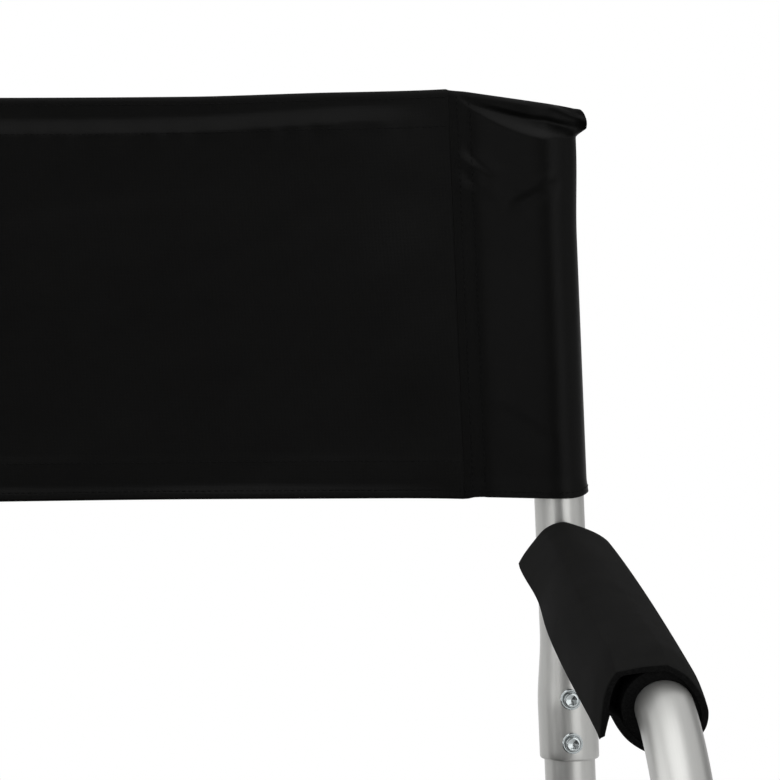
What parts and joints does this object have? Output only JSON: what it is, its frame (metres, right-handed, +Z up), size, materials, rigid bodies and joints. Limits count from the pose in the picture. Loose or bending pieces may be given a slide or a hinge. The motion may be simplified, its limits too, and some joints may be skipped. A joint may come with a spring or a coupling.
{
  "type": "folding director's chair",
  "caption": "Side-folding director's chair with satin aluminium tube frames, crossed folding base, black cloth seat and back, and wrapped padded arms.",
  "frame": {"origin": "centre of the outline's floor plan, on the floor", "axes": "+Z up, -Y the way the chair faces, +X the sitter's left"},
  "size_m": [0.5778, 0.5018, 0.8482],
  "materials": {
    "satin_aluminium": "satin anodised",
    "zinc_steel": "bright zinc plate",
    "black_plastic": "moulded, fine texture",
    "canvas": "plain woven polyester",
    "pad_fabric": "coated woven polyester over foam"
  },
  "bodies": {
    "left_frame": {"left_rear_leg": "satin_aluminium", "left_back_post": "satin_aluminium", "left_post_cap": "black_plastic", "left_bell_bolt_upper": "zinc_steel", "left_bell_bolt_lower": "zinc_steel", "left_bell_nut_upper": "zinc_steel", "left_bell_nut_lower": "zinc_steel", "left_arm_tube": "satin_aluminium", "left_arm_pad": "pad_fabric", "left_front_foot": "black_plastic", "left_rear_foot": "black_plastic", "left_low_rail": "satin_aluminium", "left_low_rail_front_cap": "black_plastic", "left_low_rail_rear_cap": "black_plastic", "left_front_clamp": "black_plastic", "left_rear_clamp": "black_plastic", "left_front_cradle": "black_plastic", "left_rear_cradle": "black_plastic", "left_back_sleeve": "canvas", "back_panel": "canvas"},
    "cross_a": {"cross_bar_a_front": "satin_aluminium", "cross_bar_a_rear": "satin_aluminium", "pivot_rivet_front": "zinc_steel", "pivot_rivet_rear": "zinc_steel", "pivot_washer_front": "black_plastic", "pivot_washer_rear": "black_plastic"},
    "cross_b": {"cross_bar_b_front": "satin_aluminium", "cross_bar_b_rear": "satin_aluminium"},
    "right_frame": {"right_rear_leg": "satin_aluminium", "right_back_post": "satin_aluminium", "right_post_cap": "black_plastic", "right_bell_bolt_upper": "zinc_steel", "right_bell_bolt_lower": "zinc_steel", "right_bell_nut_upper": "zinc_steel", "right_bell_nut_lower": "zinc_steel", "right_arm_tube": "satin_aluminium", "right_arm_pad": "pad_fabric", "right_front_foot": "black_plastic", "right_rear_foot": "black_plastic", "right_low_rail": "satin_aluminium", "right_low_rail_front_cap": "black_plastic", "right_low_rail_rear_cap": "black_plastic", "right_front_clamp": "black_plastic", "right_rear_clamp": "black_plastic", "right_front_cradle": "black_plastic", "right_rear_cradle": "black_plastic", "right_back_sleeve": "canvas"},
    "left_seat": {"left_seat_rail": "satin_aluminium", "left_seat_rail_front_cap": "black_plastic", "left_seat_rail_rear_cap": "black_plastic", "left_seat_sleeve": "canvas", "seat_panel": "canvas"},
    "right_seat": {"right_seat_rail": "satin_aluminium", "right_seat_rail_front_cap": "black_plastic", "right_seat_rail_rear_cap": "black_plastic", "right_seat_sleeve": "canvas"}
  },
  "joints": [
    {"name": "fold", "type": "hinge", "parent": "left_frame", "child": "cross_a", "pos_m": [0.204, 0, 0.1], "axis": [0, 1, 0], "range_deg": [0, 47.5], "deforming": ["back_panel", "seat_panel"]},
    {"name": "cross_pivot", "type": "hinge", "parent": "cross_a", "child": "cross_b", "pos_m": [0, 0, 0.2625], "axis": [0, 1, 0], "range_deg": [-95, 0]},
    {"name": "right_low_pivot", "type": "hinge", "parent": "cross_b", "child": "right_frame", "pos_m": [-0.204, 0, 0.1], "axis": [0, 1, 0], "range_deg": [0, 47.5]},
    {"name": "left_seat_pivot", "type": "hinge", "parent": "cross_b", "child": "left_seat", "pos_m": [0.204, 0, 0.425], "axis": [0, 1, 0], "range_deg": [0, 47.5]},
    {"name": "right_seat_pivot", "type": "hinge", "parent": "cross_a", "child": "right_seat", "pos_m": [-0.204, 0, 0.425], "axis": [0, 1, 0], "range_deg": [-47.5, 0]}
  ],
  "couplings": [
    {"joint": "cross_pivot", "follows": "fold", "ratio": -2},
    {"joint": "right_low_pivot", "follows": "fold", "ratio": 1},
    {"joint": "left_seat_pivot", "follows": "fold", "ratio": 1},
    {"joint": "right_seat_pivot", "follows": "fold", "ratio": -1}
  ]
}
